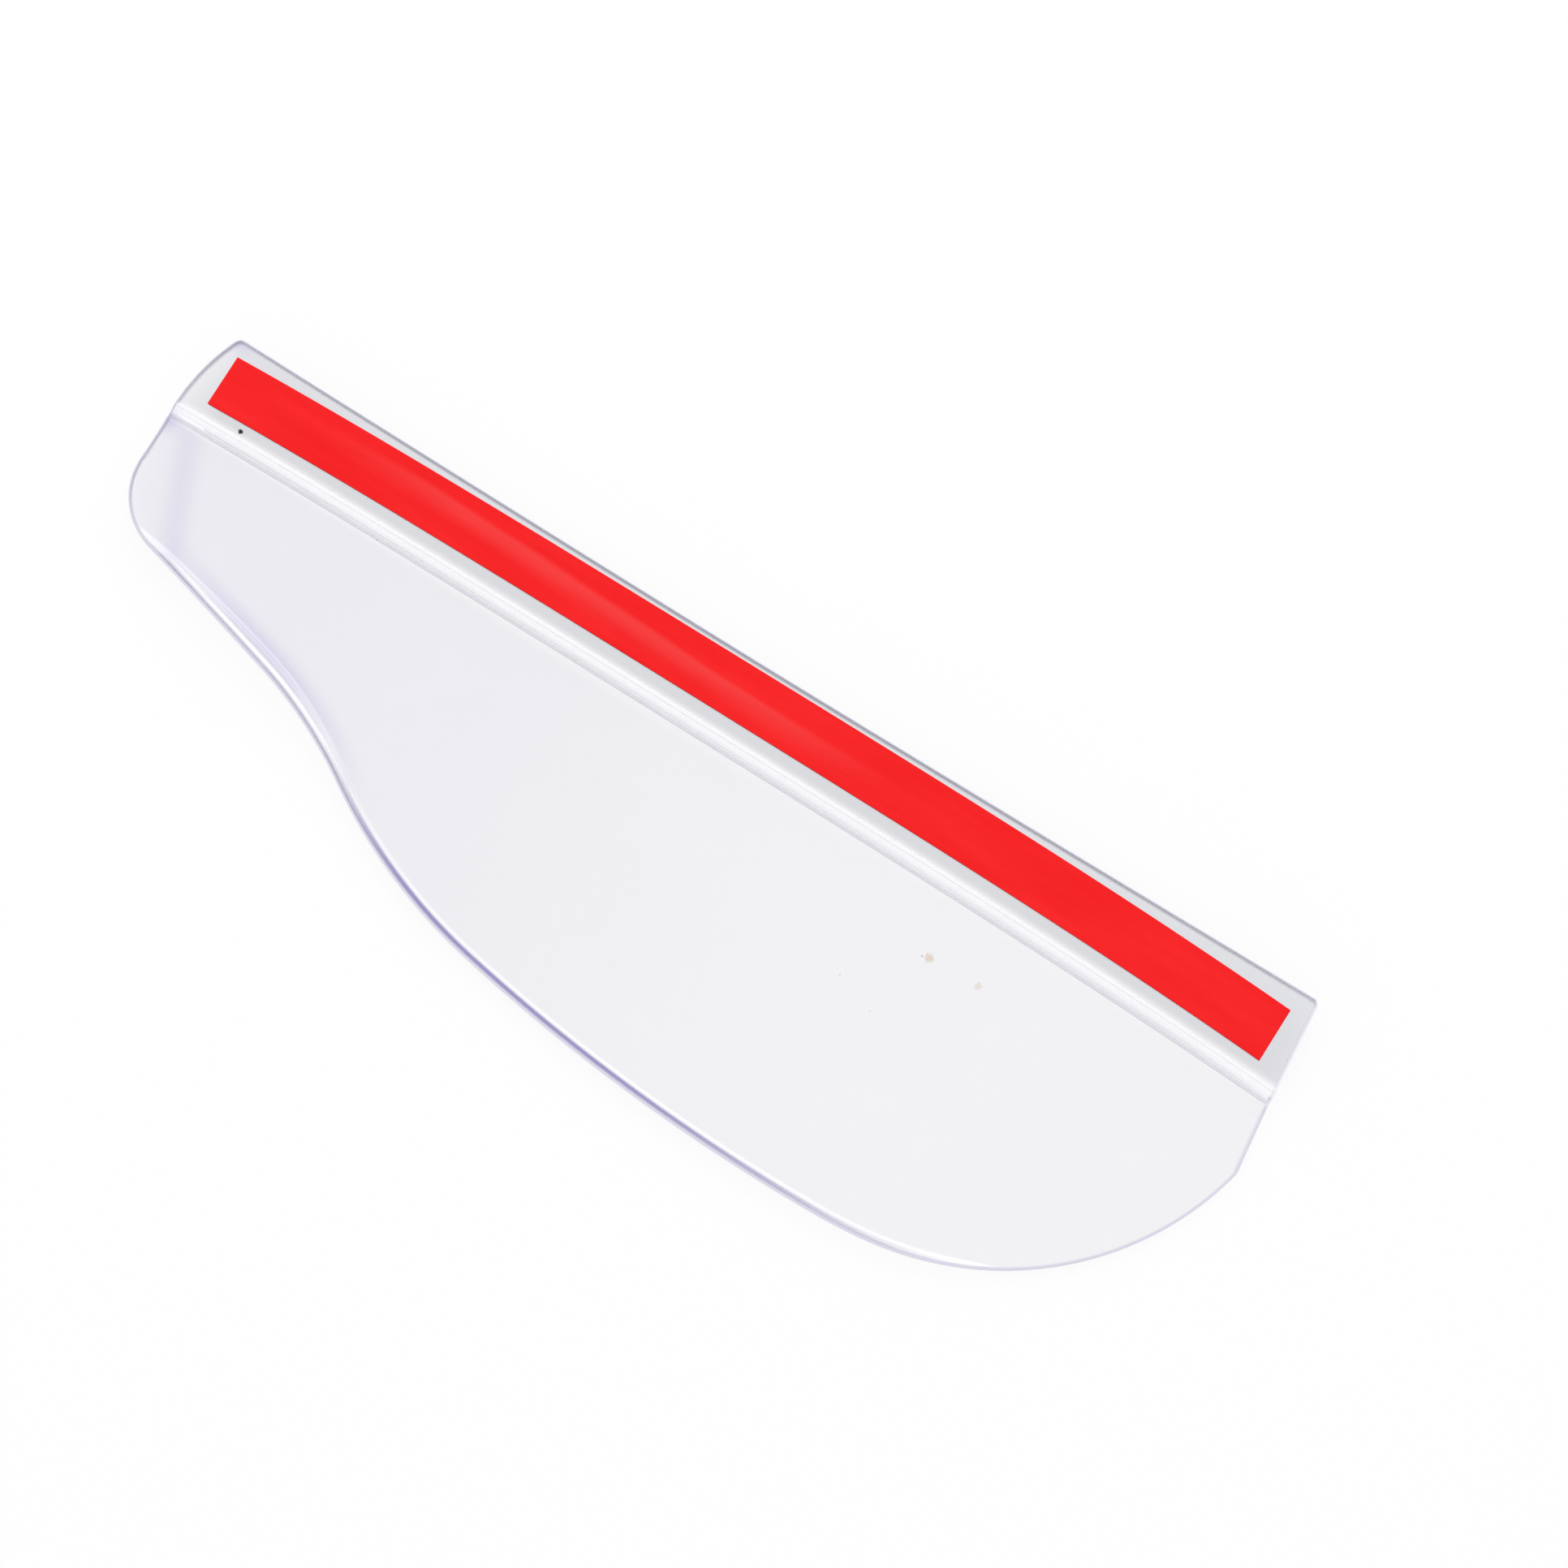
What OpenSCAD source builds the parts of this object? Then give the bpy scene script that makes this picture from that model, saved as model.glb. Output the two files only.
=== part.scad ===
// Rain guard for a car's side mirror: one moulding of soft clear PVC with a strip of foam
// tape on its flange. It lies as it comes out of its bag, with the tape's red liner up.
// X runs along the mirror, +Y points from the blade to the flange, and Z is up. The origin
// is the middle of the guard's outline, on the surface that it lies on.

/* [Flange] */
// Width of the flange at its middle, from the rib's foot to the free edge, seen from above
flange_w = 11.8; // [11.6:0.1:15]
// How much narrower the flange is at its ends
flange_arch = 0.8; // [0:0.1:1]
// Rounding of the flange's two free corners, seen from above
flange_round = 1.5; // [0.8:0.1:2]
// Thickness of the flange
flange_t = 1.6; // [1.2:0.1:2.4]
// How far the flange is tipped up from the blade
flange_tilt = 12; // [4:0.5:20]
// Radius of the bend between the blade and the flange
bend_r = 14; // [8:1:20]
// How far the strip drops back towards its deep end
strip_bow = 1.3; // [0.2:0.1:2]
// How far the flange stops short of the rib's shallow end
shallow_inset = 2; // [0.5:0.1:3]

/* [Locating rib] */
// Width of the rib that stops against the edge of the mirror's housing
rib_w = 1.5; // [1.4:0.1:2.4]
// Height of the rib above the flange
rib_h = 1.3; // [0.9:0.1:2.4]
// Rounding along the top of the rib
rib_round = 0.4; // [0.2:0.05:0.6]
// Fillet at the foot of the rib
rib_fillet = 0.4; // [0.2:0.05:0.6]

/* [Blade] */
// Thickness of the blade
blade_t = 1.2; // [0.8:0.1:1.6]
// Straight side at the shallow end, from the rib to the rounded corner
shallow_side = 7.8; // [5.5:0.1:10]
// Lean of that side
shallow_lean = 4.3; // [2:0.1:7]
// Radius of the rounded corner at the shallow end
corner_r = 12; // [8:0.5:14]
// Turn of the rounded corner
corner_turn = 71.4; // [67:0.1:75]
// Straight run of the rim after the rounded corner
run_len = 24; // [18:1:30]
// Radius of the hollow where the rim starts to swell
hollow_r = 67; // [50:1:90]
// Turn of the hollow
hollow_turn = 16.4; // [12:0.1:19]
// Radius of the swell after the hollow
swell_r = 80.5; // [72:0.5:92]
// Turn of the swell
swell_turn = 21.3; // [18:0.1:24]
// Radius of the long shallow stretch at the bottom of the blade
keel_r = 259; // [220:1:310]
// Turn of the long shallow stretch
keel_turn = 12.3; // [9:0.1:14]
// Radius where the rim starts to rise to the deep end
haunch_r = 76.5; // [62:0.5:82]
// Turn of that rise
haunch_turn = 5.1; // [4:0.1:10]
// Radius of the sweep up to the deep end
deep_r = 42.4; // [40:0.1:47]
// Radius of the small corner where the sweep meets the straight side
tip_r = 2; // [1:0.5:4]
// Turn of the small corner
tip_turn = 18.1; // [13:0.1:25]
// Lean of the straight side at the deep end
deep_lean = 5.5; // [3:0.5:8]

/* [Turned-up rim] */
// Width of the rim that turns up
lip_w = 1.9; // [1.4:0.1:2.6]
// Rise of the turned-up rim
lip_h = 0.9; // [0.4:0.1:1.4]
// Extra width of the rim at the swell near the shallow end
flare_w = 1.2; // [0:0.1:1.6]
// Extra rise of the rim at that swell
flare_h = 1.5; // [0:0.1:2]
// Lift of the blade's shallow end off the surface
curl_h = 1.6; // [0:0.1:3]

/* [Tape] */
// Width of the foam tape and of its liner
tape_w = 7.6; // [5.6:0.5:7.6]
// Length of the tape
tape_len = 167; // [120:1:169]
// Thickness of the foam with its two layers of adhesive
foam_t = 0.8; // [0.5:0.1:1]
// Thickness of the red liner
liner_t = 0.15; // [0.1:0.05:0.3]
// Gap between the rib's foot and the tape, seen from above
tape_gap = 3.7; // [3.1:0.1:3.8]
// Middle of the tape along the strip
tape_mid = -0.65; // [-1:0.05:0]

/* [Hidden] */

// The rim is drawn from the shallow end with X counted from the middle of the strip.
shallow_x = -88.3;
// Each stretch of the rim is a radius, a turn to the left and a number of steps. A straight
// stretch has a radius of 0 and a length in place of the turn.
full_turn = 180 + deep_lean - shallow_lean;
deep_turn = full_turn - corner_turn + hollow_turn - swell_turn - keel_turn - haunch_turn - tip_turn;
RIM = [
    [corner_r, corner_turn, 8],
    [0, run_len, 4],
    [-hollow_r, -hollow_turn, 6],
    [swell_r, swell_turn, 8],
    [keel_r, keel_turn, 8],
    [haunch_r, haunch_turn, 3],
    [deep_r, deep_turn, 14],
    [tip_r, tip_turn, 3]
];

function smooth(t) = let (c = max(0, min(1, t))) c * c * (3 - 2 * c);
function mix(a, b, t) = a + (b - a) * t;

// Points of one stretch of the rim, each with its heading, from a start at [x, y, heading]
function stretch(s, seg) =
    let (r = seg[0], a = seg[1], n = seg[2], h = s[2])
    r == 0
        ? [for (i = [1:n]) [s[0] + cos(h) * a * i / n, s[1] + sin(h) * a * i / n, h]]
        : let (cx = s[0] - r * sin(h), cy = s[1] + r * cos(h))
          [for (i = [1:n]) let (g = h + a * i / n) [cx + r * sin(g), cy - r * cos(g), g]];
function walk(s, i = 0) =
    i == len(RIM) ? [] : let (p = stretch(s, RIM[i])) concat(p, walk(p[len(p) - 1], i + 1));
rim_start = [shallow_x + shallow_side * tan(shallow_lean), -shallow_side, shallow_lean - 90];
rim = concat([rim_start], walk(rim_start));
last = len(rim) - 1;
rim_end = rim[last];

// Distance walked along the rim up to each of its points
function walked(i) =
    i == 0 ? 0 : walked(i - 1) + norm([rim[i][0] - rim[i - 1][0], rim[i][1] - rim[i - 1][1]]);
rim_len = walked(last);

// The strip's two ends, where the rib's foot meets the sides, and its bow between them
deep_x = rim_end[0] + rim_end[1] * tan(deep_lean);
bow_mid = -8;
bow_power = 3.4;
function bow(x) = -strip_bow * pow(abs(x - bow_mid) / (deep_x - bow_mid), bow_power);

// How much of its width the flange has lost at a place along the strip
arch_mid = 5;
function arch(x) =
    let (reach = x < arch_mid ? arch_mid - shallow_x : deep_x - arch_mid)
    flange_arch * pow(abs(x - arch_mid) / reach, 3);

// Height of the guard's underside: flat under the blade, then the bend, then the flange
bend_start = -3.2;
bend_end = bend_start + bend_r * sin(flange_tilt);
bend_rise = bend_r * (1 - cos(flange_tilt));
function flange_under(y) = bend_rise + (y - bend_end) * tan(flange_tilt);
function under(y) =
    y < bend_start ? 0
    : y < bend_end ? bend_r - sqrt(bend_r * bend_r - pow(y - bend_start, 2))
    : flange_under(y);
flange_rise = flange_t / cos(flange_tilt);
function flange_top(y) = flange_under(y) + flange_rise;

// How much of the turned-up rim there is at a place along the strip, and how much flare
lip_from = -86;
lip_full = -72;
lip_fades = 50;
lip_ends = 80;
flare_mid = -57;
flare_reach = 26;
function lip_share(x) = smooth((x - lip_from) / (lip_full - lip_from))
                        * smooth((lip_ends - x) / (lip_ends - lip_fades));
function flare_share(x) = smooth(1 - abs(x - flare_mid) / flare_reach);
function rim_width(x) = lip_w + flare_w * flare_share(x);
function rim_rise(x) = lip_h * lip_share(x) + flare_h * flare_share(x);

// Lift of the shallow end: it grows towards the end and away from the rib
curl_from = -48;
curl_depth = 16;
function curl(x, y) =
    curl_h * smooth((curl_from - x) / (curl_from - shallow_x)) * smooth(-y / curl_depth);

// The section from the flange's free edge to the blade. Each top point is a distance from
// the rib's foot and a height over the flange, and each bottom point a height under it.
edge_round = 0.35;
round_steps = 2;
plan_steps = 3;
step_down = flange_t - blade_t;
foot_flat = 0.1;
foot_reach = rib_fillet + foot_flat;
root_reach = 1.6;
function corner(y, z, r, from, to) =
    [for (i = [0:round_steps]) let (a = mix(from, to, i / round_steps)) [y + r * cos(a), z + r * sin(a)]];
flange_steps = concat(
    [for (i = [1:plan_steps]) flange_w - mix(edge_round, flange_round, i / plan_steps)],
    [for (i = [1:plan_steps]) rib_w + mix(root_reach, rib_fillet, (i - 1) / plan_steps)]
);
section_top = concat(
    corner(flange_w - edge_round, -edge_round, edge_round, 0, 90),
    [for (y = flange_steps) [y, 0]],
    corner(rib_w + rib_fillet, rib_fillet, rib_fillet, 270, 180),
    corner(rib_w - rib_round, rib_h - rib_round, rib_round, 0, 90),
    corner(rib_round, rib_h - rib_round, rib_round, 90, 180),
    corner(-rib_fillet, rib_fillet - step_down, rib_fillet, 0, -90),
    [[-foot_reach, -step_down]]
);
rib_outer = rib_w + rib_fillet;
under_points = len(section_top) - round_steps - 1 - len(flange_steps);
section_under = concat(
    corner(flange_w - edge_round, edge_round, edge_round, 0, -90),
    [for (y = flange_steps) [y, 0]],
    [for (i = [0:under_points - 1]) [mix(rib_outer, -foot_reach, i / (under_points - 1)), 0]]
);

// How far the flange's ends are set in at a distance from the rib's foot. The rounded corner at
// the free edge is the same at both. The shallow end steps back behind the rib, and the deep
// end runs on with the lean of the blade's side.
function corner_in(y) =
    let (over = max(0, y - flange_w + flange_round))
    flange_round - sqrt(flange_round * flange_round - over * over);
function shallow_in(y) = corner_in(y) + shallow_inset * smooth((y - rib_w) / root_reach);
function deep_in(y) = corner_in(y) + y * tan(deep_lean);

// Place of a section's point on the strip, at a distance along the rib and its share of it
function placed(q, x, share) =
    let (y = bow(x) + q[0] - arch(x) * max(0, (q[0] - rib_outer) / (flange_w - rib_outer)))
    [mix(shallow_x + shallow_in(q[0]), deep_x - deep_in(q[0]), share), y];

// Columns across the blade: shares of the way to the rim's foot, then shares of the rim's
// own width that is left, and last how far the edge is rounded
blade_shares = [0.25, 0.5, 0.75, 1];
lip_shares = [0.7, 0.4, 0.16, 0];
cut_round = 0.3;
blend_len = 9;
// How closely the stations on the rib follow the ones on the rim
root_follows = 0.7;

// One station: the points across the guard at one place along the rim, top and underside
function station(k) =
    let (
        p = rim[k],
        crossed = (p[0] - shallow_x) / (rim_end[0] - shallow_x),
        share = mix(walked(k) / rim_len, crossed, root_follows),
        rx = mix(shallow_x, deep_x, share),
        foot = [rx, bow(rx) - foot_reach],
        to_foot = (foot - [p[0], p[1]]) / norm(foot - [p[0], p[1]]),
        inward = [-sin(p[2]), cos(p[2])],
        blend = smooth(walked(k) / blend_len) * smooth((rim_len - walked(k)) / blend_len),
        way = mix(to_foot, inward, blend),
        dir = way / norm(way),
        w = rim_width(p[0]),
        inner = [p[0], p[1]] + dir * w,
        rise = rim_rise(p[0]),
        strip_top = [for (q = section_top) let (c = placed(q, rx, share))
            [c[0], c[1], flange_top(c[1]) + q[1]]],
        strip_under = [for (q = section_under) let (c = placed(q, rx, share))
            [c[0], c[1], under(c[1]) + q[1]]],
        mid = [for (s = blade_shares) let (c = mix(foot, inner, s))
            [c[0], c[1], under(c[1]) + curl(c[0], c[1])]],
        lip = [for (s = lip_shares) let (c = [p[0], p[1]] + dir * w * s)
            [c[0], c[1], curl(c[0], c[1]) + rise * pow(1 - s, 2)]]
    )
    [
        concat(
            strip_top,
            [for (q = mid) q + [0, 0, blade_t]],
            [for (i = [0:len(lip) - 1]) lip[i] + [0, 0, blade_t - (i == len(lip) - 1 ? cut_round : 0)]]
        ),
        concat(
            strip_under,
            mid,
            [for (i = [0:len(lip) - 1]) lip[i] + [0, 0, i == len(lip) - 1 ? cut_round : 0]]
        )
    ];
stations = [for (k = [0:last]) station(k)];
cols = len(stations[0][0]);

// Middle of the guard's outline, which becomes the origin
outline_x = [for (s = stations) for (q = s[0]) q[0]];
outline_y = [for (s = stations) for (q = s[0]) q[1]];
centre_x = (min(outline_x) + max(outline_x)) / 2;
centre_y = (min(outline_y) + max(outline_y)) / 2;

// Index of a point in the skin's list: station, top or underside, column
function at(k, side, j) = (k * 2 + side) * cols + j;
function quad(a, b, c, d) = [[a, b, c], [a, c, d]];

// The flange, rib and blade are one moulding, skinned over the stations.
module visor() {
    end = cols - 1;
    skin = concat(
        [for (k = [0:last - 1]) for (j = [0:end - 1]) each
            quad(at(k, 0, j), at(k + 1, 0, j), at(k + 1, 0, j + 1), at(k, 0, j + 1))],
        [for (k = [0:last - 1]) for (j = [0:end - 1]) each
            quad(at(k, 1, j), at(k, 1, j + 1), at(k + 1, 1, j + 1), at(k + 1, 1, j))],
        [for (k = [0:last - 1]) each
            quad(at(k, 0, 0), at(k, 1, 0), at(k + 1, 1, 0), at(k + 1, 0, 0))],
        [for (k = [0:last - 1]) each
            quad(at(k, 0, end), at(k + 1, 0, end), at(k + 1, 1, end), at(k, 1, end))],
        [for (j = [0:end - 1]) each
            quad(at(0, 0, j), at(0, 0, j + 1), at(0, 1, j + 1), at(0, 1, j))],
        [for (j = [0:end - 1]) each
            quad(at(last, 0, j), at(last, 1, j), at(last, 1, j + 1), at(last, 0, j + 1))]
    );
    color([0.9, 0.91, 0.97, 0.45])
        translate([-centre_x, -centre_y, 0])
            polyhedron(points = [for (s = stations) for (side = s) each side], faces = skin);
}

// A strip that follows the bow, drawn flat and then laid on the tipped flange
tape_steps = 24;
tape_foot = tape_gap / cos(flange_tilt);
// How much of the flange's arch the tape follows
tape_follows = 0.5;
function strip_bend(x) = (bow(x) - tape_follows * arch(x)) / cos(flange_tilt);
module strip(level, thickness) {
    xs = [for (i = [0:tape_steps]) tape_mid + tape_len * (i / tape_steps - 0.5)];
    translate([-centre_x, -centre_y, flange_top(0)])
        rotate([flange_tilt, 0, 0])
            translate([0, 0, level])
                linear_extrude(thickness)
                    polygon(concat(
                        [for (x = xs) [x, tape_foot + strip_bend(x)]],
                        [for (i = [tape_steps:-1:0]) [xs[i], tape_foot + tape_w + strip_bend(xs[i])]]
                    ));
}

// Double-sided foam tape that sticks the flange to the mirror's housing
module foam_tape() {
    color([0.42, 0.42, 0.44]) strip(0, foam_t);
}

// Film that covers the adhesive until the guard is fitted
module release_liner() {
    color([0.93, 0.13, 0.14]) strip(foam_t, liner_t);
}

visor();
foam_tape();
release_liner();
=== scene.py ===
import math

import bmesh
import bpy
import numpy as np
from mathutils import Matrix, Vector


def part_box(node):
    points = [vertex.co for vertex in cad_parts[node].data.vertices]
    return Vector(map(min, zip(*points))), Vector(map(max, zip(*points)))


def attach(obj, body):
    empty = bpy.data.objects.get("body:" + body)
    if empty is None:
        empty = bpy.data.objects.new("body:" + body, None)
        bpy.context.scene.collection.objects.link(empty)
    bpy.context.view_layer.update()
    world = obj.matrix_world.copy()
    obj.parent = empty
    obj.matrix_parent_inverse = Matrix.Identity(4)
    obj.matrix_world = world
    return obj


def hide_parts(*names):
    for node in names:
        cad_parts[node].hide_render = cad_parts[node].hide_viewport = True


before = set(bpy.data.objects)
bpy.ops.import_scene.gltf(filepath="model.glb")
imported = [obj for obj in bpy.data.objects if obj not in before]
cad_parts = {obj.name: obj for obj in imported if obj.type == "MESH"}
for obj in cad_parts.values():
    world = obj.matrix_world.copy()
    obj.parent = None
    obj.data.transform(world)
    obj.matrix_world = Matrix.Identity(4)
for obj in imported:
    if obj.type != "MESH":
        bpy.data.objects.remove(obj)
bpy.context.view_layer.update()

# Clear moulding
# One piece of soft clear PVC from an injection mould: a flange for the tape, a rib that stops
# against the mirror's housing, and a thin blade whose rim turns up. Sizes are in millimetres,
# with X counted from the middle of the strip and Y from the rib's foot.
flange_w, flange_t, flange_tilt = 12.2, 1.6, math.radians(12)
flange_round, flange_spread, half_strip = 0.8, 0.55, 86
rib_w, rib_h, rib_round, rib_fillet = 1.5, 1.3, 0.4, 0.4
rib_stop, rib_runout = 0.6, 0.5
rib_outer = rib_w + rib_fillet
blade_t = 1.2
step_down = flange_t - blade_t
foot_reach = rib_fillet + 0.1
bend_r, bend_start = 14, -3.2
strip_bow, bow_mid, bow_power = 1.3, -8, 3.4
spread_power = 1.5
side_x, side_mid, side_bulge = -88.7, 0.5, 28
shallow_x, shallow_side = -88.3, 7.8
shallow_lean, deep_lean = math.radians(4.3), math.radians(5.5)
root_follows, blend_len = 0.7, 9
lip_w, lip_h, flare_w, flare_h, flare_mid, flare_reach = 1.9, 0.9, 1.2, 1.5, -57, 26
lip_start, lip_grow, lip_end, lip_fade = -86, 14, 80, 30
curl_h, curl_from, curl_depth = 1.6, -48, 16
cut_round = 0.3

# Each stretch of the rim is a radius and a turn in degrees to the left, or 0 and a length.
RIM = (
    (12, 71.4), (0, 24), (-67, -16.4), (80.5, 21.3),
    (259, 12.3), (76.5, 5.1), (42.4, 69.4), (2, 18.1),
)
rim_start = (shallow_x + shallow_side * math.tan(shallow_lean), -shallow_side, shallow_lean - math.pi / 2)
rim_len = sum(size if radius == 0 else radius * math.radians(size) for radius, size in RIM)


def mix(a, b, share):
    return a + (b - a) * share


def smooth(t):
    t = max(0.0, min(1.0, t))
    return t * t * (3 - 2 * t)


def rim_at(walked):
    """Place and heading on the rim at a distance walked along it from the shallow end."""
    x, y, heading = rim_start
    for radius, size in RIM:
        gone = min(walked, size if radius == 0 else radius * math.radians(size))
        walked -= gone
        if radius == 0:
            x, y = x + gone * math.cos(heading), y + gone * math.sin(heading)
        else:
            turned = heading + gone / radius
            x += radius * (math.sin(turned) - math.sin(heading))
            y -= radius * (math.cos(turned) - math.cos(heading))
            heading = turned
    return x, y, heading


rim_end = rim_at(rim_len)
deep_x = rim_end[0] + rim_end[1] * math.tan(deep_lean)


def bow(x):
    """How far the strip drops back towards its deep end."""
    return -strip_bow * (abs(x - bow_mid) / (deep_x - bow_mid)) ** bow_power


def flange_width(x):
    """The free edge is nearly straight, so the flange is widest where the rib drops back."""
    return flange_w + flange_spread * (abs(x) / half_strip) ** spread_power - bow(x)


bend_end = bend_start + bend_r * math.sin(flange_tilt)
bend_rise = bend_r * (1 - math.cos(flange_tilt))


def under(y):
    """Height of the underside: flat under the blade, then the bend, then the flange."""
    if y < bend_start:
        return 0.0
    if y < bend_end:
        return bend_r - math.sqrt(bend_r**2 - (y - bend_start) ** 2)
    return bend_rise + (y - bend_end) * math.tan(flange_tilt)


def flange_top(y):
    return bend_rise + (y - bend_end) * math.tan(flange_tilt) + flange_t / math.cos(flange_tilt)


def strip_place(out, root, share):
    """Where a distance from the rib's foot falls on the strip, for one section across it."""
    stretch = (flange_width(root) - rib_outer) / (flange_w - rib_outer)
    wide = min(out, rib_outer) + max(0.0, out - rib_outer) * stretch
    over = max(0.0, out - flange_w + flange_round)
    corner_in = flange_round - math.sqrt(flange_round**2 - over**2)
    swung = max(0.0, bow(root) + wide - side_mid)
    shallow_in = corner_in + side_bulge - math.sqrt(side_bulge**2 - swung**2)
    deep_in = corner_in + wide * math.tan(deep_lean)
    return mix(side_x + shallow_in, deep_x - deep_in, share), bow(root) + wide


def rib_at(out, height, x):
    """The rib stops just short of the shallow end, where the flange steps down to the blade."""
    step = -step_down * smooth((rib_outer - out) / (rib_outer + foot_reach))
    return mix(step, height, smooth((x - side_x - rib_stop) / rib_runout))


def curl(x, y):
    """Lift of the shallow end, which grows towards the end and away from the rib."""
    return curl_h * smooth((curl_from - x) / (curl_from - shallow_x)) * smooth(-y / curl_depth)


# Columns of the skin: distances from the free edge at which its rounding needs one, then the
# flange, the rib's quarter turns and the blade
edge_rows = [cut_round * (1 - math.cos(math.radians(a))) for a in (0, 20, 40, 60, 75, 90)]
flange_rows = [flange_w - d for d in edge_rows + [0.45, 0.6, 0.8, 1.0, 1.25, 1.5]]
flange_rows += [mix(flange_w - 1.5, rib_outer, i / 14) for i in range(1, 14)]
rib_rows = []
for t in (math.radians(a) for a in range(0, 91, 18)):
    rib_rows.append((rib_outer - rib_fillet * math.sin(t), rib_fillet * (1 - math.cos(t))))
for t in (math.radians(a) for a in range(0, 91, 18)):
    rib_rows.append((rib_w - rib_round * (1 - math.cos(t)), rib_h - rib_round * (1 - math.sin(t))))
for t in (math.radians(a) for a in range(0, 91, 18)):
    rib_rows.append((rib_round * (1 - math.sin(t)), rib_h - rib_round * (1 - math.cos(t))))
for t in (math.radians(a) for a in range(0, 91, 18)):
    rib_rows.append((-rib_fillet * (1 - math.cos(t)), rib_fillet * (1 - math.sin(t)) - step_down))
rib_rows.append((-foot_reach, -step_down))
strip_rows = [(out, 0.0) for out in flange_rows] + rib_rows
blade_shares = [i / 28 for i in range(1, 29)]
lip_shares = [1 - i / 20 for i in range(1, 17)]


def section(walked):
    """Points across the guard at one place along its rim: X, Y, top and underside."""
    x, y, heading = rim_at(walked)
    crossed = (x - rim_start[0]) / (rim_end[0] - rim_start[0])
    share = mix(walked / rim_len, crossed, root_follows)
    root = mix(side_x, deep_x, share)
    foot = Vector((root, bow(root) - foot_reach))
    rim = Vector((x, y))
    inward = Vector((-math.sin(heading), math.cos(heading)))
    blend = smooth(walked / blend_len) * smooth((rim_len - walked) / blend_len)
    way = (foot - rim).normalized().lerp(inward, blend).normalized()
    flare = smooth(1 - abs(x - flare_mid) / flare_reach)
    lip = smooth((x - lip_start) / lip_grow) * smooth((lip_end - x) / lip_fade)
    width = lip_w + flare_w * flare
    rise = lip_h * lip + flare_h * flare
    points = []
    for out, height in strip_rows:
        px, py = strip_place(out, root, share)
        points.append((px, py, flange_top(py) + rib_at(out, height, px), under(py)))
    inner = rim + way * width
    for part in blade_shares:
        p = foot.lerp(inner, part)
        z = under(p.y) + curl(p.x, p.y)
        points.append((p.x, p.y, z + blade_t, z))
    for part in lip_shares + [d / width for d in reversed(edge_rows)]:
        p = rim + way * width * part
        z = curl(p.x, p.y) + rise * (1 - part) ** 2
        points.append((p.x, p.y, z + blade_t, z))
    return points, (x, lip, flare)


end_steps = [0, 0.1, 0.28, 0.6, 1.0, 1.6, 2.3]
long_run = rim_len - 2 * end_steps[-1]
walks = end_steps + [end_steps[-1] + long_run * i / 196 for i in range(1, 196)]
walks += [rim_len - d for d in reversed(end_steps)]
sections = [section(walked) for walked in walks]
points = np.array([points for points, turned_up in sections])

# The frame's origin is the middle of the guard's outline.
low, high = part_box("visor")
rim_places = np.array([rim_at(walked) for walked in walks])
centre = (rim_places[:, 0].max() - high[0] * 1000, rim_places[:, 1].min() - low[1] * 1000)
points[..., 0] -= centre[0]
points[..., 1] -= centre[1]

# Every edge is rounded over the same distance from the outline, above and below. A painted glow,
# an emissive shader mixed in, lights the edges pale, most of all along the trimmed rim, and the
# rib. Painted violet shade darkens a line just inside the turned-up rim, the foot of the flared
# lip, the fold where the shallow end lifts, and the moulding's corners.
# Reaches and shares of the painted glow, the painted dark line, the painted highlight on the flared lip
# and the painted violet shade
grey_reach, wall_glow = 0.28, 0.2
line_in, line_w, gleam_in, gleam_w = 0.58, 0.24, 1.05, 0.22
line_glow, gleam_glow, band_shade, fold_shade, shallow_violet = 0.75, 0.8, 0.7, 0.35, 0.22
line_start, line_grow, line_end, line_fade = -45, 25, 70, 60
band_in, band_w, fold_w, corner_w = 2.4, 1.4, 2.2, 1.8
fold_x, fold_slope = -85.6, -0.57
shallow_violet_start, shallow_violet_reach = 40, 110
clear_end, shallow_painted_shade = 7, 0.35
blade_from = len(strip_rows)
columns = np.arange(points.shape[1])
on_blade = columns >= blade_from
on_rib = (columns >= len(flange_rows)) & ~on_blade
heights = np.array([height for out, height in strip_rows] + [0.0] * (len(columns) - blade_from))
rib_top = on_rib & (heights > rib_h - rib_round)
rib_foot = (columns >= blade_from - 4) & (columns < blade_from - 2)
rib_walls = (columns > len(flange_rows) + 3) & (columns < blade_from - 4)
# Painted light on the rib: a pale painted highlight on its top, a grey painted shade line at its foot,
# paler grey on its walls
rib_glow = np.select([rib_top, rib_foot, rib_walls], [0.2, 0.45, 0.3])
rib_tone = np.select([rib_top, rib_foot, rib_walls], [0.0, 0.5, 0.25])
# Painted grey shade: full on the flange, a little on the blade, none on the rib
painted_shades = np.where(on_blade, 0.05, np.where(on_rib, 0.0, 1.0))
cut_tone = np.where(on_blade, 0.42, 0.3)
plan = points[..., :2]
outline = np.concatenate([plan[0], plan[1:, -1], plan[-1, -2::-1], plan[-2:0:-1, 0]])
edge_way = np.roll(outline, -1, axis=0) - outline
edge_size = np.maximum((edge_way**2).sum(1), 1e-12)
corners = (plan[0, 0], plan[0, blade_from - 1])


def bell(distance, middle, width):
    return np.exp(-(((distance - middle) / width) ** 2))


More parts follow.
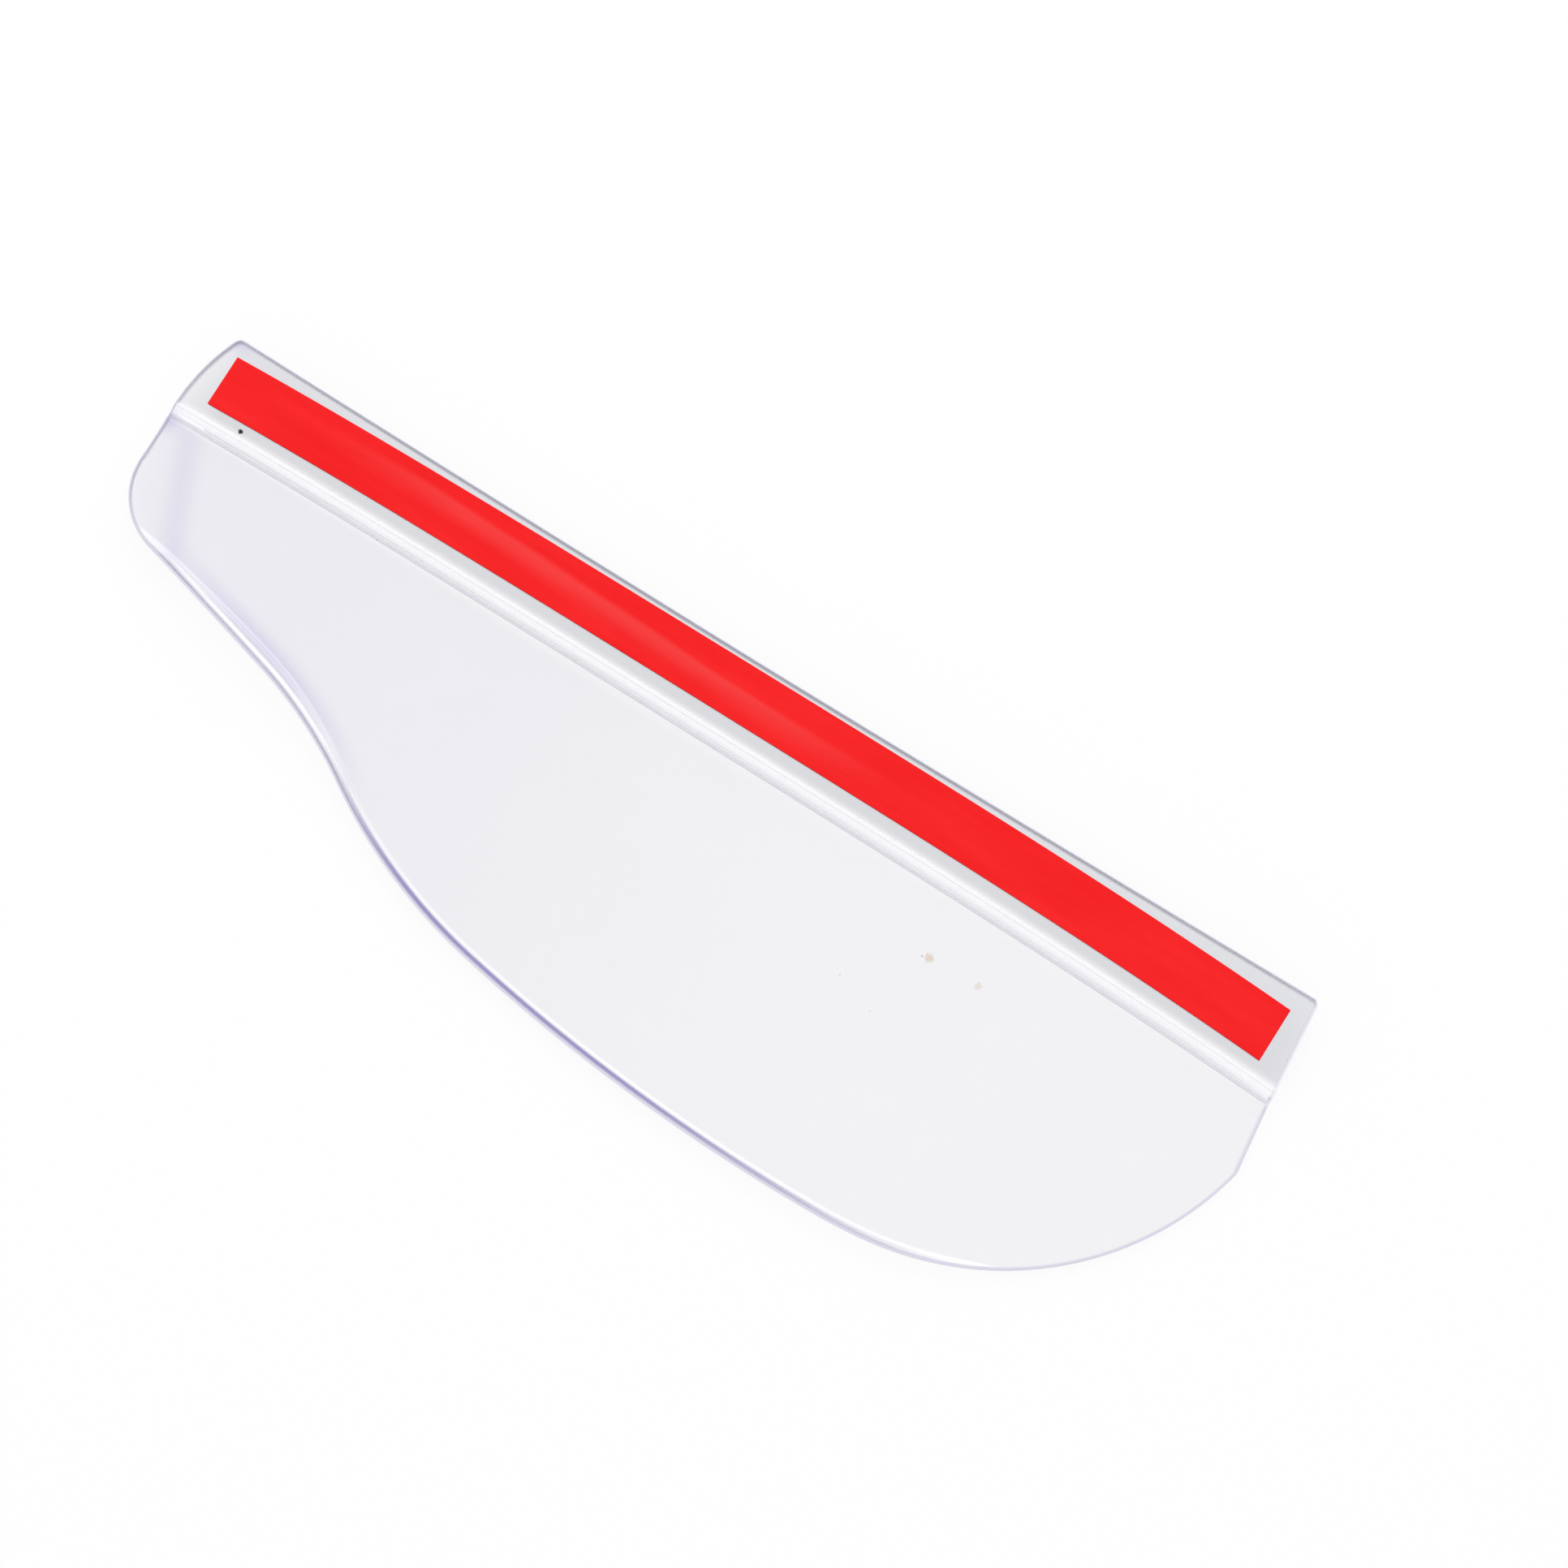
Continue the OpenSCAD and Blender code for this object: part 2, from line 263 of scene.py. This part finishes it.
tints = []
for row, (rim_x, lip, flare) in zip(points, (turned_up for across, turned_up in sections)):
    gap = row[:, None, :2] - outline
    along = np.clip((gap * edge_way).sum(2) / edge_size, 0, 1)
    off = np.sqrt(((gap - along[..., None] * edge_way) ** 2).sum(2)).min(1)
    lost = np.maximum(0, cut_round - off)
    eased = cut_round - np.sqrt(np.maximum(0, cut_round**2 - lost**2))
    row[:, 2] -= eased
    row[:, 3] += eased
    x, y = row[:, 0] + centre[0], row[:, 1] + centre[1]
    rim = on_blade * lip
    trimmed = on_blade * smooth((rim_x - lip_start) / lip_grow)
    lined = on_blade * smooth((rim_x - line_start) / line_grow) * smooth((line_end - rim_x) / line_fade)
    # Painted glow on the edges' rounding and walls, strongest on the trimmed rim's walls, in a
    # grey-violet tone
    cut = np.where(off < 0.01, mix(wall_glow, 1, trimmed), np.clip(1.5 - off / grey_reach, 0, 1))
    # A painted dark violet line of shade just inside the turned-up rim
    line = line_glow * lined * bell(off, line_in, line_w)
    # A painted highlight along the flared lip
    gleam = gleam_glow * rim * flare * bell(off, gleam_in, gleam_w)
    # The rib's painted highlight and shade, kept off the rounded edges
    glowing = rib_glow * (off > grey_reach)
    guided = np.maximum.reduce([cut, line, gleam, glowing])
    tone = np.where(cut >= guided, cut_tone, rib_tone)
    tone = np.where((line >= guided) & (line > 0.02), 1.0, np.where(guided > 0.02, tone, cut_tone))
    # Painted violet shade at the foot of the flared lip, in the fold where the shallow end lifts and at
    # the moulding's corners; the blade also turns violet towards its shallow end
    violet = band_shade * flare * bell(off, band_in, band_w)
    violet += fold_shade * bell(x, fold_x + fold_slope * y, fold_w)
    violet += shallow_violet * smooth((shallow_violet_start - rim_x) / shallow_violet_reach)
    violet *= on_blade
    for corner in corners:
        violet += bell(np.hypot(*(row[:, :2] - corner).T), 0, corner_w)
    # The painted grey shade fades towards the shallow side
    veil = painted_shades * np.interp(x, (side_x, side_x + clear_end), (shallow_painted_shade, 1))
    tints.append(np.stack([guided, tone, violet, veil], 1))

mesh = bmesh.new()
count = points.shape[1]
bmesh.ops.create_grid(mesh, x_segments=len(points) - 1, y_segments=count - 1, size=0.5)
for name in ("guided", "guided_tone", "violet", "veil", "upper_face"):
    mesh.verts.layers.float.new(name)
spot = mesh.verts.layers.int.new("spot")
for v in mesh.verts:
    station, column = (v.co.x + 0.5) * (len(points) - 1), (v.co.y + 0.5) * (count - 1)
    v[spot] = round(station) * count + round(column)
grown = bmesh.ops.extrude_face_region(mesh, geom=mesh.faces[:])
upper = {g for g in grown["geom"] if isinstance(g, bmesh.types.BMVert)}
layers = [mesh.verts.layers.float[name] for name in ("guided", "guided_tone", "violet", "veil")]
upper_face = mesh.verts.layers.float["upper_face"]
for v in mesh.verts:
    station, column = divmod(v[spot], count)
    x, y, top, bottom = points[station][column]
    v.co = Vector((x, y, top if v in upper else bottom)) * 0.001
    v[upper_face] = 1.0 if v in upper else 0.0
    for layer, tint in zip(layers, tints[station][column]):
        v[layer] = float(tint)
bmesh.ops.recalc_face_normals(mesh, faces=mesh.faces[:])
for f in mesh.faces:
    f.smooth = True


def piece(name, mesh, *nodes, slot):
    """Makes a finished mesh an object that stands for its CAD nodes and rides on the frame."""
    data = bpy.data.meshes.new(name)
    mesh.to_mesh(data)
    mesh.free()
    made = bpy.data.objects.new(name, data)
    bpy.context.scene.collection.objects.link(made)
    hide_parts(*nodes)
    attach(made, "root")
    return made


moulding = piece("clear_moulding", mesh, "visor", slot="clear_pvc")


class Finish:
    """A material, and the nodes that it is mixed from."""

    def __init__(self, name, on):
        self.material = bpy.data.materials.new(name)
        self.material.use_nodes = True
        self.nodes, self.links = self.material.node_tree.nodes, self.material.node_tree.links
        self.nodes.clear()
        on.data.materials.clear()
        on.data.materials.append(self.material)

    def node(self, kind, settings=None, inputs=None, out=0):
        """Any node: its settings first, then the values or links of its sockets."""
        made = self.nodes.new("ShaderNode" + kind)
        for name, value in (settings or {}).items():
            if name == "stops":
                while len(made.color_ramp.elements) < len(value):
                    made.color_ramp.elements.new(0.5)
                for element, (position, shade) in zip(made.color_ramp.elements, value):
                    element.position, element.color = position, (*shade, 1)
            else:
                setattr(made, name, value)
        for name, value in (inputs or {}).items():
            if isinstance(value, Level):
                self.links.new(value.socket, made.inputs[name])
            else:
                made.inputs[name].default_value = value
        return Level(self, made.outputs[out]) if len(made.outputs) else made

    def blend(self, share, first, second):
        """A colour between two others."""
        return self.node("Mix", {"data_type": "RGBA"}, {0: share, 6: first, 7: second}, out=2)


class Level:
    """A socket whose value changes over the surface and takes part in sums."""

    def __init__(self, finish, socket):
        self.finish, self.socket = finish, socket

    def math(self, operation, a, b=0.0):
        return self.finish.node("Math", {"operation": operation}, {0: a, 1: b})

    def __add__(self, other):
        return self.math("ADD", self, other)

    def __sub__(self, other):
        return self.math("SUBTRACT", self, other)

    def __mul__(self, other):
        return self.math("MULTIPLY", self, other)

    def __pow__(self, other):
        return self.math("POWER", self, other)

    def between(self, low, high):
        """0 at low, 1 at high, and a soft step in between."""
        ends = {"Value": self, "From Min": low, "From Max": high}
        return self.finish.node("MapRange", {"interpolation_type": "SMOOTHSTEP"}, ends)

    def larger(self, other):
        return self.math("MAXIMUM", self, other)

    def twin(self, name):
        """Another output of the same node."""
        return Level(self.finish, self.socket.node.outputs[name])


# The PVC's skin has the faint swell of a soft moulding and the fine grain of the mould.
pvc = Finish("clear_soft_pvc", moulding)
place = pvc.node("TexCoord", out="Object")
swell = pvc.node("TexNoise", {}, {"Vector": place, "Scale": 55.0, "Detail": 1.0, "Roughness": 0.4})
grain = pvc.node("TexNoise", {}, {"Vector": place, "Scale": 1900.0, "Detail": 2.0, "Roughness": 0.5})
wipes = pvc.node("TexNoise", {}, {"Vector": place, "Scale": 42.0, "Detail": 5.0, "Roughness": 0.6})
skin = pvc.node("Bump", {}, {"Strength": 0.06, "Distance": 0.0004, "Height": swell + grain * 0.002})
gloss = wipes.between(0.35, 0.7) * 0.03 + 0.03
veil = pvc.node("Attribute", {"attribute_name": "veil"}, out="Fac")
violet = pvc.node("Attribute", {"attribute_name": "violet"}, out="Fac")
# Painted grey shade darkens the clear PVC's colour, with a random tone from the wipes
tone = pvc.blend(veil + wipes * 0.08, (0.995, 0.995, 1.0, 1), (0.80, 0.805, 0.825, 1))
# The painted violet shade, and the violet towards the shallow end, darken the clear PVC's colour
tone = pvc.blend(violet * 0.8, tone, (0.67, 0.645, 0.84, 1))
clear = pvc.node(
    "BsdfPrincipled",
    {},
    {"Base Color": tone, "Roughness": gloss, "IOR": 1.5, "Transmission Weight": 1.0, "Normal": skin},
)
depth = pvc.node("VolumeAbsorption", {}, {"Color": (0.46, 0.42, 0.70, 1), "Density": 30.0})
# The guided attribute mixes in an emissive shader: painted glow, painted highlights and painted shade
# lines
guided = pvc.node("Attribute", {"attribute_name": "guided"}, out="Fac")
guided_tone = pvc.node("Attribute", {"attribute_name": "guided_tone"}, out="Fac")
# Tones of the painted glow: pale for painted highlights, grey-violet and dark violet for painted shade
tones = ((0.0, (0.97, 0.97, 0.98)), (0.5, (0.42, 0.41, 0.51)), (1.0, (0.15, 0.125, 0.37)))
tone = pvc.node("ValToRGB", {"stops": tones}, {"Fac": guided_tone})
edge = pvc.node(
    "BsdfPrincipled",
    {},
    {"Base Color": tone, "Roughness": 0.5, "Emission Color": tone, "Emission Strength": 0.4},
)
body = pvc.node("MixShader", {}, {0: guided, 1: clear, 2: edge})

# Small marks on the upper skin, each a place, a radius, how dense it is and a colour: a black
# speck and a grey one on the flange, tan stains on the blade and dust
MARKS = (
    (-78.27, 18.76, 0.48, 1.0, (0.02, 0.02, 0.02, 1)),
    (-53.61, 16.22, 0.14, 0.55, (0.20, 0.20, 0.21, 1)),
    (40.25, 7.85, 0.80, 0.42, (0.64, 0.41, 0.13, 1)),
    (39.34, 7.52, 0.16, 0.60, (0.30, 0.20, 0.10, 1)),
    (47.53, 8.10, 0.65, 0.32, (0.66, 0.46, 0.18, 1)),
    (31.81, -0.38, 0.13, 0.45, (0.30, 0.30, 0.31, 1)),
    (37.67, -2.33, 0.12, 0.40, (0.32, 0.32, 0.34, 1)),
)
fleck = pvc.node("TexNoise", {}, {"Vector": place, "Scale": 2600.0, "Detail": 3.0})
x_mm = pvc.node("SeparateXYZ", {}, {"Vector": place}, out="X")
y_mm = x_mm.twin("Y") * 1000
x_mm = x_mm * 1000
dirt, dirt_tone = 0.0, (0.3, 0.3, 0.3, 1)
for mark_x, mark_y, radius, density, tone in MARKS:
    away = ((x_mm - mark_x) ** 2 + (y_mm - mark_y) ** 2) ** 0.5
    patch = (away + fleck * radius).between(radius * 1.5, radius * 0.9)
    dirt_tone = pvc.blend(patch, dirt_tone, tone)
    dirt = (patch * density).larger(dirt)
upper_face = pvc.node("Attribute", {"attribute_name": "upper_face"}, out="Fac")
grime = pvc.node("BsdfPrincipled", {}, {"Base Color": dirt_tone, "Roughness": 0.9})
marked = pvc.node("MixShader", {}, {0: dirt * upper_face, 1: body, 2: grime})
pvc.node("OutputMaterial", {}, {"Surface": marked, "Volume": depth})

# Foam tape
# A strip of grey closed-cell acrylic foam, sticky on both faces, cut from a roll and pressed
# onto the flange, so that it follows the flange's slight bow. Its adhesive wets the PVC, which
# the slight bed stands for, so no air shows between them.
tape_w, tape_len, tape_mid, tape_gap = 7.6, 167, -0.65, 3.7
foam_t, liner_t, tape_arch, arch_mid = 0.8, 0.15, 0.4, 5
foam_bed = 0.02
tape_foot = tape_gap / math.cos(flange_tilt)


def tape_bend(x):
    """How far the tape drops back at a place along it, measured on the tipped flange."""
    reach = arch_mid - shallow_x if x < arch_mid else deep_x - arch_mid
    return (bow(x) - tape_arch * (abs(x - arch_mid) / reach) ** 3) / math.cos(flange_tilt)


def on_strip(along, across, level):
    """A place on the tipped flange, from shares of the tape's length and width."""
    x = tape_mid + tape_len * (along - 0.5)
    v = tape_foot + tape_w * across + tape_bend(x)
    y = v * math.cos(flange_tilt) - level * math.sin(flange_tilt)
    z = flange_top(0) + v * math.sin(flange_tilt) + level * math.cos(flange_tilt)
    return Vector((x - centre[0], y - centre[1], z)) * 0.001


def strip_mesh(steps, rows, shape, low, high, edge):
    """A strip on the flange between two levels, with its long and short edges rounded."""
    mesh = bmesh.new()
    bmesh.ops.create_grid(mesh, x_segments=steps, y_segments=rows, size=0.5)
    for name in ("along", "across"):
        mesh.verts.layers.float.new(name)
    along, across = (mesh.verts.layers.float[name] for name in ("along", "across"))
    for v in mesh.verts:
        v[along], v[across] = v.co.x + 0.5, v.co.y + 0.5
    grown = bmesh.ops.extrude_face_region(mesh, geom=mesh.faces[:])
    upper = {g for g in grown["geom"] if isinstance(g, bmesh.types.BMVert)}
    for v in mesh.verts:
        v.co = shape(v[along], v[across], high if v in upper else low)
    bmesh.ops.recalc_face_normals(mesh, faces=mesh.faces[:])
    sharp = [e for e in mesh.edges if e.calc_face_angle(0) > 0.9]
    bmesh.ops.bevel(mesh, geom=sharp, offset=edge, segments=2, profile=0.5, affect="EDGES", material=-1)
    for f in mesh.faces:
        f.smooth = True
    return mesh


foam_mesh = strip_mesh(150, 6, on_strip, -foam_bed, foam_t, 0.00006)
foam = piece("foam_strip", foam_mesh, "foam_tape", slot="acrylic_foam")
grey = Finish("grey_foam", foam)
place = grey.node("TexCoord", out="Object")
cells = grey.node("TexVoronoi", {}, {"Vector": place, "Scale": 3200.0})
cloud = grey.node("TexNoise", {}, {"Vector": place, "Scale": 500.0, "Detail": 3.0})
greys = ((0.3, (0.10, 0.10, 0.11)), (0.7, (0.17, 0.17, 0.18)))
shade = grey.node("ValToRGB", {"stops": greys}, {"Fac": cloud})
pores = grey.node("Bump", {}, {"Strength": 0.6, "Distance": 0.00008, "Height": cells + cloud * 0.4})
body = grey.node("BsdfPrincipled", {}, {"Base Color": shade, "Roughness": 0.85, "Normal": pores})
grey.node("OutputMaterial", {}, {"Surface": body})

# Release liner
# A red polyethylene film that covers the tape's upper adhesive until the guard is fitted. The
# roll that it was wound on has left it fine ripples and a crease, which wanders along the film
# and fades towards the rib's side; a painted highlight makes the film paler along the crease.
crease_w, crease_near, crease_far = 0.11, -0.38, 0.12
ripple_h, fold_h, fold_mid, fold_half = 0.012, 0.03, 0.36, 0.32


def crease_place(along):
    return mix(0.70, 0.48, smooth((along - 0.15) / 0.4))


def on_liner(along, across, level):
    ripple = ripple_h * math.sin(along * 61) * math.sin(across * 5 + along * 23)
    fold = fold_h * math.exp(-(((across - crease_place(along)) / crease_w) ** 2))
    fold *= smooth((fold_half - abs(along - fold_mid)) * 6)
    return on_strip(along, across, level + ripple + fold)


film_mesh = strip_mesh(240, 24, on_liner, foam_t, foam_t + liner_t, 0.00003)
along, across = (film_mesh.verts.layers.float[name] for name in ("along", "across"))
for v in film_mesh.verts:
    v[across] -= crease_place(v[along])
film = piece("liner_film", film_mesh, "release_liner", slot="red_film")
red = Finish("red_film", film)
place = red.node("TexCoord", out="Object")
along = red.node("Attribute", {"attribute_name": "along"}, out="Fac")
from_crease = red.node("Attribute", {"attribute_name": "across"}, out="Fac")
long_grain = red.node("Mapping", {}, {"Vector": place, "Scale": (1.0, 9.0, 1.0)})
streaks = red.node("TexNoise", {}, {"Vector": long_grain, "Scale": 70.0, "Detail": 3.0, "Roughness": 0.5})
fine = red.node("TexNoise", {}, {"Vector": place, "Scale": 1400.0, "Detail": 2.0})
reds = ((0.3, (0.93, 0.007, 0.009)), (0.75, (0.985, 0.014, 0.015)))
shade = red.node("ValToRGB", {"stops": reds}, {"Fac": streaks})
wander = from_crease + (streaks - 0.5) * 0.12
# A painted highlight lightens the film along the crease
crease_sheen = wander.between(crease_near, 0.0) * wander.between(crease_far, 0.0)
crease_sheen = crease_sheen * along.between(0.08, 0.25) * along.between(0.68, 0.5)
shade = red.blend(crease_sheen * 0.5, shade, (0.98, 0.075, 0.075, 1))
relief = red.node("Bump", {}, {"Strength": 0.25, "Distance": 0.00005, "Height": streaks + fine * 0.12})
body = red.node(
    "BsdfPrincipled",
    {},
    {"Base Color": shade, "Roughness": 0.45, "Specular IOR Level": 0.16, "Normal": relief},
)
red.node("OutputMaterial", {}, {"Surface": body})

# Floor, light and camera
# The guard lies on a plain white surface in even white light, with one large soft lamp behind
# it and a small one low down that catches its edges. The camera has the photograph's angle.
mesh = bmesh.new()
bmesh.ops.create_grid(mesh, x_segments=1, y_segments=1, size=3)
bmesh.ops.translate(mesh, verts=mesh.verts, vec=(0, 0, -0.00005))
data = bpy.data.meshes.new("floor")
mesh.to_mesh(data)
mesh.free()
floor = bpy.data.objects.new("floor", data)
bpy.context.scene.collection.objects.link(floor)
white = Finish("white_floor", floor)
seen = white.node("LightPath", out="Is Camera Ray")
shown = seen.larger(seen.twin("Is Glossy Ray")).larger(seen.twin("Is Transmission Ray"))
matt = white.node("BsdfDiffuse", {}, {"Color": (0.97, 0.97, 0.97, 1)})
glow = white.node("Emission", {}, {"Color": (1, 1, 1, 1), "Strength": 1.0})
both = white.node("MixShader", {}, {0: shown * 0.86, 1: matt, 2: glow})
white.node("OutputMaterial", {}, {"Surface": both})

sky_level = 0.88
world = bpy.data.worlds.new("studio")
bpy.context.scene.world = world
world.use_nodes = True
tree = world.node_tree
path = tree.nodes.new("ShaderNodeLightPath")
level = tree.nodes.new("ShaderNodeMapRange")
level.inputs["To Min"].default_value, level.inputs["To Max"].default_value = sky_level, 1.0
tree.links.new(path.outputs["Is Camera Ray"], level.inputs["Value"])
tree.nodes["Background"].inputs["Color"].default_value = (1, 1, 1, 1)
tree.links.new(level.outputs["Result"], tree.nodes["Background"].inputs["Strength"])


def backwards(azimuth, elevation):
    """The way from the middle of the picture towards a lamp or the camera."""
    turn, lift = math.radians(azimuth), math.radians(elevation)
    return Vector((math.sin(turn) * math.cos(lift), -math.cos(turn) * math.cos(lift), math.sin(lift)))


def soft_lamp(name, azimuth, elevation, distance, size, power):
    lamp = bpy.data.objects.new(name, bpy.data.lights.new(name, "AREA"))
    lamp.data.shape, lamp.data.size, lamp.data.energy = "DISK", size, power
    back = backwards(azimuth, elevation)
    lamp.location = back * distance
    lamp.rotation_euler = (-back).to_track_quat("-Z", "Y").to_euler()
    bpy.context.scene.collection.objects.link(lamp)


soft_lamp("key_lamp", 200, 34, 1.5, 1.1, 5.0)
soft_lamp("edge_lamp", 250, 28, 1.2, 0.35, 0.7)

distance = 0.3868688
target = Vector((11.3359 - centre[0], 0.8502 - centre[1], 0)) * 0.001
back = backwards(33.1856, 71.9799)
camera = bpy.data.objects.new("camera", bpy.data.cameras.new("camera"))
camera.data.sensor_width, camera.data.lens = 36, 67.08
camera.data.clip_start = 0.01
camera.location = target + back * distance
camera.rotation_euler = (-back).to_track_quat("-Z", "Y").to_euler()
bpy.context.scene.collection.objects.link(camera)
bpy.context.scene.camera = camera
bpy.context.scene.view_settings.view_transform = "Standard"
